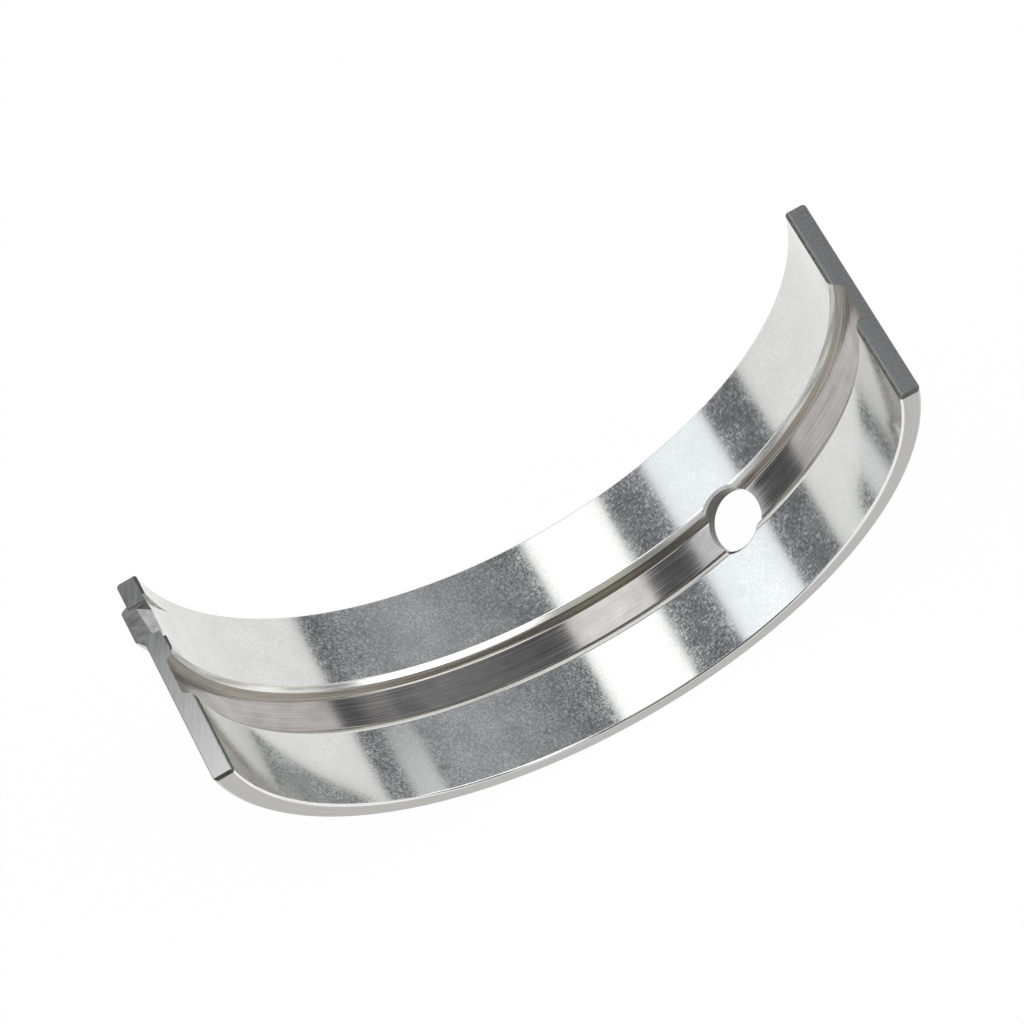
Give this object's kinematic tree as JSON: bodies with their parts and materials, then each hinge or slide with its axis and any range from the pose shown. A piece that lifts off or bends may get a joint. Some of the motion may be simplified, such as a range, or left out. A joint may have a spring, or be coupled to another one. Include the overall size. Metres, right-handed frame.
{
  "type": "engine bearing shell",
  "caption": "Half-round plain bearing shell for a crankshaft main journal, with an oil groove round the bore, a drilled oil hole in it and a punched locating tang at a parting face.",
  "frame": {"origin": "on the bore axis of the free shell, at mid width", "axes": "+Y along the bore axis towards the side face that the tang is nearer to, +Z out of the open side, +X towards the parting face that has no tang"},
  "size_m": [0.0877, 0.0268, 0.042],
  "materials": {
    "shell_metal": "fine bored bright metal with matt ground faces"
  },
  "bodies": {
    "root": {"bearing_shell": "shell_metal"}
  },
  "joints": []
}
